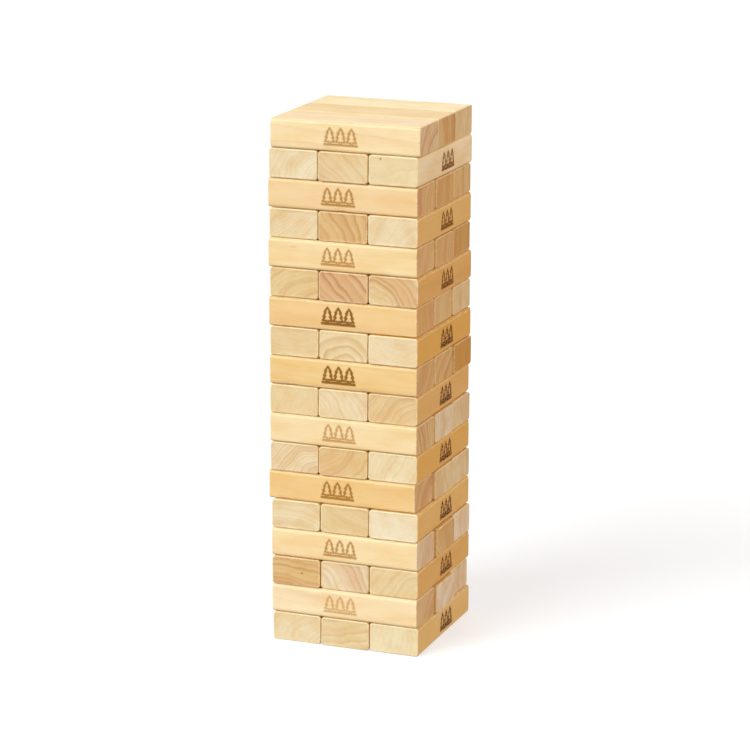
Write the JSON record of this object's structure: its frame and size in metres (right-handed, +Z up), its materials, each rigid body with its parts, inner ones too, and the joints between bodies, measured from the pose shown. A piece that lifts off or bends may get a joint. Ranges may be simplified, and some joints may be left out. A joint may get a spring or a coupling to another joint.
{
  "type": "giant tumbling tower",
  "caption": "Tall square tower of loose rounded wooden blocks, laid side by side in courses that cross one another, with a small tree glyph stamped on each long side.",
  "frame": {"origin": "centre of the tower's footprint, on the ground under the lowest course", "axes": "+Z up; -Y towards the side where the lowest course shows its block ends, which is the picture's left, wide face; +X towards the picture's right face"},
  "size_m": [0.1986, 0.1932, 0.6514],
  "materials": {
    "pale_wood": "sanded and lightly sealed, pale sapwood, satin",
    "warm_wood": "sanded and lightly sealed, warm tan wood, satin",
    "golden_wood": "sanded and lightly sealed, golden heartwood, satin"
  },
  "bodies": {
    "course_01_left": {"course_01_left": "pale_wood"},
    "course_01_middle": {"course_01_middle": "warm_wood"},
    "course_01_right": {"course_01_right": "pale_wood"},
    "course_02_front": {"course_02_front": "pale_wood"},
    "course_02_middle": {"course_02_middle": "warm_wood"},
    "course_02_back": {"course_02_back": "pale_wood"},
    "course_03_left": {"course_03_left": "golden_wood"},
    "course_03_middle": {"course_03_middle": "pale_wood"},
    "course_03_right": {"course_03_right": "warm_wood"},
    "course_04_front": {"course_04_front": "pale_wood"},
    "course_04_middle": {"course_04_middle": "warm_wood"},
    "course_04_back": {"course_04_back": "pale_wood"},
    "course_05_left": {"course_05_left": "pale_wood"},
    "course_05_middle": {"course_05_middle": "warm_wood"},
    "course_05_right": {"course_05_right": "pale_wood"},
    "course_06_front": {"course_06_front": "warm_wood"},
    "course_06_middle": {"course_06_middle": "pale_wood"},
    "course_06_back": {"course_06_back": "pale_wood"},
    "course_07_left": {"course_07_left": "pale_wood"},
    "course_07_middle": {"course_07_middle": "warm_wood"},
    "course_07_right": {"course_07_right": "pale_wood"},
    "course_08_front": {"course_08_front": "pale_wood"},
    "course_08_middle": {"course_08_middle": "warm_wood"},
    "course_08_back": {"course_08_back": "pale_wood"},
    "course_09_left": {"course_09_left": "pale_wood"},
    "course_09_middle": {"course_09_middle": "pale_wood"},
    "course_09_right": {"course_09_right": "warm_wood"},
    "course_10_front": {"course_10_front": "warm_wood"},
    "course_10_middle": {"course_10_middle": "pale_wood"},
    "course_10_back": {"course_10_back": "golden_wood"},
    "course_11_left": {"course_11_left": "warm_wood"},
    "course_11_middle": {"course_11_middle": "pale_wood"},
    "course_11_right": {"course_11_right": "pale_wood"},
    "course_12_front": {"course_12_front": "warm_wood"},
    "course_12_middle": {"course_12_middle": "pale_wood"},
    "course_12_back": {"course_12_back": "pale_wood"},
    "course_13_left": {"course_13_left": "warm_wood"},
    "course_13_middle": {"course_13_middle": "golden_wood"},
    "course_13_right": {"course_13_right": "warm_wood"},
    "course_14_front": {"course_14_front": "pale_wood"},
    "course_14_middle": {"course_14_middle": "warm_wood"},
    "course_14_back": {"course_14_back": "golden_wood"},
    "course_15_left": {"course_15_left": "pale_wood"},
    "course_15_middle": {"course_15_middle": "golden_wood"},
    "course_15_right": {"course_15_right": "pale_wood"},
    "course_16_front": {"course_16_front": "warm_wood"},
    "course_16_middle": {"course_16_middle": "warm_wood"},
    "course_16_back": {"course_16_back": "pale_wood"},
    "course_17_left": {"course_17_left": "pale_wood"},
    "course_17_middle": {"course_17_middle": "warm_wood"},
    "course_17_right": {"course_17_right": "pale_wood"},
    "course_18_front": {"course_18_front": "pale_wood"},
    "course_18_middle": {"course_18_middle": "warm_wood"},
    "course_18_back": {"course_18_back": "pale_wood"}
  },
  "joints": [
    {"name": "course_01_left_pull", "type": "slide", "parent": "course_01_middle", "child": "course_01_left", "axis": [-0.0035, 1, 0], "range_m": [-0.2, 0.2]},
    {"name": "course_01_right_pull", "type": "slide", "parent": "course_01_middle", "child": "course_01_right", "axis": [-0.0035, 1, 0], "range_m": [-0.2, 0.2]},
    {"name": "course_02_front_pull", "type": "slide", "parent": "course_01_middle", "child": "course_02_front", "axis": [1, -0.0052, 0], "range_m": [-0.2, 0.2]},
    {"name": "course_02_middle_pull", "type": "slide", "parent": "course_01_middle", "child": "course_02_middle", "axis": [1, -0.0052, 0], "range_m": [-0.2, 0.2]},
    {"name": "course_02_back_pull", "type": "slide", "parent": "course_01_middle", "child": "course_02_back", "axis": [1, -0.0052, 0], "range_m": [-0.2, 0.2]},
    {"name": "course_03_left_pull", "type": "slide", "parent": "course_01_middle", "child": "course_03_left", "axis": [-0.0035, 1, 0], "range_m": [-0.2, 0.2]},
    {"name": "course_03_middle_pull", "type": "slide", "parent": "course_01_middle", "child": "course_03_middle", "axis": [-0.0035, 1, 0], "range_m": [-0.2, 0.2]},
    {"name": "course_03_right_pull", "type": "slide", "parent": "course_01_middle", "child": "course_03_right", "axis": [-0.0035, 1, 0], "range_m": [-0.2, 0.2]},
    {"name": "course_04_front_pull", "type": "slide", "parent": "course_01_middle", "child": "course_04_front", "axis": [1, -0.0017, 0], "range_m": [-0.2, 0.2]},
    {"name": "course_04_middle_pull", "type": "slide", "parent": "course_01_middle", "child": "course_04_middle", "axis": [1, -0.0017, 0], "range_m": [-0.2, 0.2]},
    {"name": "course_04_back_pull", "type": "slide", "parent": "course_01_middle", "child": "course_04_back", "axis": [1, -0.0017, 0], "range_m": [-0.2, 0.2]},
    {"name": "course_05_left_pull", "type": "slide", "parent": "course_01_middle", "child": "course_05_left", "axis": [-0.0052, 1, 0], "range_m": [-0.2, 0.2]},
    {"name": "course_05_middle_pull", "type": "slide", "parent": "course_01_middle", "child": "course_05_middle", "axis": [-0.0052, 1, 0], "range_m": [-0.2, 0.2]},
    {"name": "course_05_right_pull", "type": "slide", "parent": "course_01_middle", "child": "course_05_right", "axis": [-0.0052, 1, 0], "range_m": [-0.2, 0.2]},
    {"name": "course_06_front_pull", "type": "slide", "parent": "course_01_middle", "child": "course_06_front", "axis": [1, -0.0052, 0], "range_m": [-0.2, 0.2]},
    {"name": "course_06_middle_pull", "type": "slide", "parent": "course_01_middle", "child": "course_06_middle", "axis": [1, -0.0052, 0], "range_m": [-0.2, 0.2]},
    {"name": "course_06_back_pull", "type": "slide", "parent": "course_01_middle", "child": "course_06_back", "axis": [1, -0.0052, 0], "range_m": [-0.2, 0.2]},
    {"name": "course_07_left_pull", "type": "slide", "parent": "course_01_middle", "child": "course_07_left", "axis": [-0.0017, 1, 0], "range_m": [-0.2, 0.2]},
    {"name": "course_07_middle_pull", "type": "slide", "parent": "course_01_middle", "child": "course_07_middle", "axis": [-0.0017, 1, 0], "range_m": [-0.2, 0.2]},
    {"name": "course_07_right_pull", "type": "slide", "parent": "course_01_middle", "child": "course_07_right", "axis": [-0.0017, 1, 0], "range_m": [-0.2, 0.2]},
    {"name": "course_08_front_pull", "type": "slide", "parent": "course_01_middle", "child": "course_08_front", "axis": [1, -0.0035, 0], "range_m": [-0.2, 0.2]},
    {"name": "course_08_middle_pull", "type": "slide", "parent": "course_01_middle", "child": "course_08_middle", "axis": [1, -0.0035, 0], "range_m": [-0.2, 0.2]},
    {"name": "course_08_back_pull", "type": "slide", "parent": "course_01_middle", "child": "course_08_back", "axis": [1, -0.0035, 0], "range_m": [-0.2, 0.2]},
    {"name": "course_09_left_pull", "type": "slide", "parent": "course_01_middle", "child": "course_09_left", "axis": [-0.0052, 1, 0], "range_m": [-0.2, 0.2]},
    {"name": "course_09_middle_pull", "type": "slide", "parent": "course_01_middle", "child": "course_09_middle", "axis": [-0.0052, 1, 0], "range_m": [-0.2, 0.2]},
    {"name": "course_09_right_pull", "type": "slide", "parent": "course_01_middle", "child": "course_09_right", "axis": [-0.0052, 1, 0], "range_m": [-0.2, 0.2]},
    {"name": "course_10_front_pull", "type": "slide", "parent": "course_01_middle", "child": "course_10_front", "axis": [1, -0.0017, 0], "range_m": [-0.2, 0.2]},
    {"name": "course_10_middle_pull", "type": "slide", "parent": "course_01_middle", "child": "course_10_middle", "axis": [1, -0.0017, 0], "range_m": [-0.2, 0.2]},
    {"name": "course_10_back_pull", "type": "slide", "parent": "course_01_middle", "child": "course_10_back", "axis": [1, -0.0017, 0], "range_m": [-0.2, 0.2]},
    {"name": "course_11_left_pull", "type": "slide", "parent": "course_01_middle", "child": "course_11_left", "axis": [0.0052, 1, 0], "range_m": [-0.2, 0.2]},
    {"name": "course_11_middle_pull", "type": "slide", "parent": "course_01_middle", "child": "course_11_middle", "axis": [0.0052, 1, 0], "range_m": [-0.2, 0.2]},
    {"name": "course_11_right_pull", "type": "slide", "parent": "course_01_middle", "child": "course_11_right", "axis": [0.0052, 1, 0], "range_m": [-0.2, 0.2]},
    {"name": "course_12_front_pull", "type": "slide", "parent": "course_01_middle", "child": "course_12_front", "axis": [1, 0.0035, 0], "range_m": [-0.2, 0.2]},
    {"name": "course_12_middle_pull", "type": "slide", "parent": "course_01_middle", "child": "course_12_middle", "axis": [1, 0.0035, 0], "range_m": [-0.2, 0.2]},
    {"name": "course_12_back_pull", "type": "slide", "parent": "course_01_middle", "child": "course_12_back", "axis": [1, 0.0035, 0], "range_m": [-0.2, 0.2]},
    {"name": "course_13_left_pull", "type": "slide", "parent": "course_01_middle", "child": "course_13_left", "axis": [0.0035, 1, 0], "range_m": [-0.2, 0.2]},
    {"name": "course_13_middle_pull", "type": "slide", "parent": "course_01_middle", "child": "course_13_middle", "axis": [0.0035, 1, 0], "range_m": [-0.2, 0.2]},
    {"name": "course_13_right_pull", "type": "slide", "parent": "course_01_middle", "child": "course_13_right", "axis": [0.0035, 1, 0], "range_m": [-0.2, 0.2]},
    {"name": "course_14_front_pull", "type": "slide", "parent": "course_01_middle", "child": "course_14_front", "axis": [1, 0.0052, 0], "range_m": [-0.2, 0.2]},
    {"name": "course_14_middle_pull", "type": "slide", "parent": "course_01_middle", "child": "course_14_middle", "axis": [1, 0.0052, 0], "range_m": [-0.2, 0.2]},
    {"name": "course_14_back_pull", "type": "slide", "parent": "course_01_middle", "child": "course_14_back", "axis": [1, 0.0052, 0], "range_m": [-0.2, 0.2]},
    {"name": "course_15_left_pull", "type": "slide", "parent": "course_01_middle", "child": "course_15_left", "axis": [0.0017, 1, 0], "range_m": [-0.2, 0.2]},
    {"name": "course_15_middle_pull", "type": "slide", "parent": "course_01_middle", "child": "course_15_middle", "axis": [0.0017, 1, 0], "range_m": [-0.2, 0.2]},
    {"name": "course_15_right_pull", "type": "slide", "parent": "course_01_middle", "child": "course_15_right", "axis": [0.0017, 1, 0], "range_m": [-0.2, 0.2]},
    {"name": "course_16_front_pull", "type": "slide", "parent": "course_01_middle", "child": "course_16_front", "axis": [1, 0.0035, 0], "range_m": [-0.2, 0.2]},
    {"name": "course_16_middle_pull", "type": "slide", "parent": "course_01_middle", "child": "course_16_middle", "axis": [1, 0.0035, 0], "range_m": [-0.2, 0.2]},
    {"name": "course_16_back_pull", "type": "slide", "parent": "course_01_middle", "child": "course_16_back", "axis": [1, 0.0035, 0], "range_m": [-0.2, 0.2]},
    {"name": "course_17_left_pull", "type": "slide", "parent": "course_01_middle", "child": "course_17_left", "axis": [0.0052, 1, 0], "range_m": [-0.2, 0.2]},
    {"name": "course_17_middle_pull", "type": "slide", "parent": "course_01_middle", "child": "course_17_middle", "axis": [0.0052, 1, 0], "range_m": [-0.2, 0.2]},
    {"name": "course_17_right_pull", "type": "slide", "parent": "course_01_middle", "child": "course_17_right", "axis": [0.0052, 1, 0], "range_m": [-0.2, 0.2]},
    {"name": "course_18_front_lift", "type": "slide", "parent": "course_01_middle", "child": "course_18_front", "axis": [0, 0, 1], "range_m": [0, 0.1]},
    {"name": "course_18_middle_lift", "type": "slide", "parent": "course_01_middle", "child": "course_18_middle", "axis": [0, 0, 1], "range_m": [0, 0.1]},
    {"name": "course_18_back_lift", "type": "slide", "parent": "course_01_middle", "child": "course_18_back", "axis": [0, 0, 1], "range_m": [0, 0.1]}
  ]
}
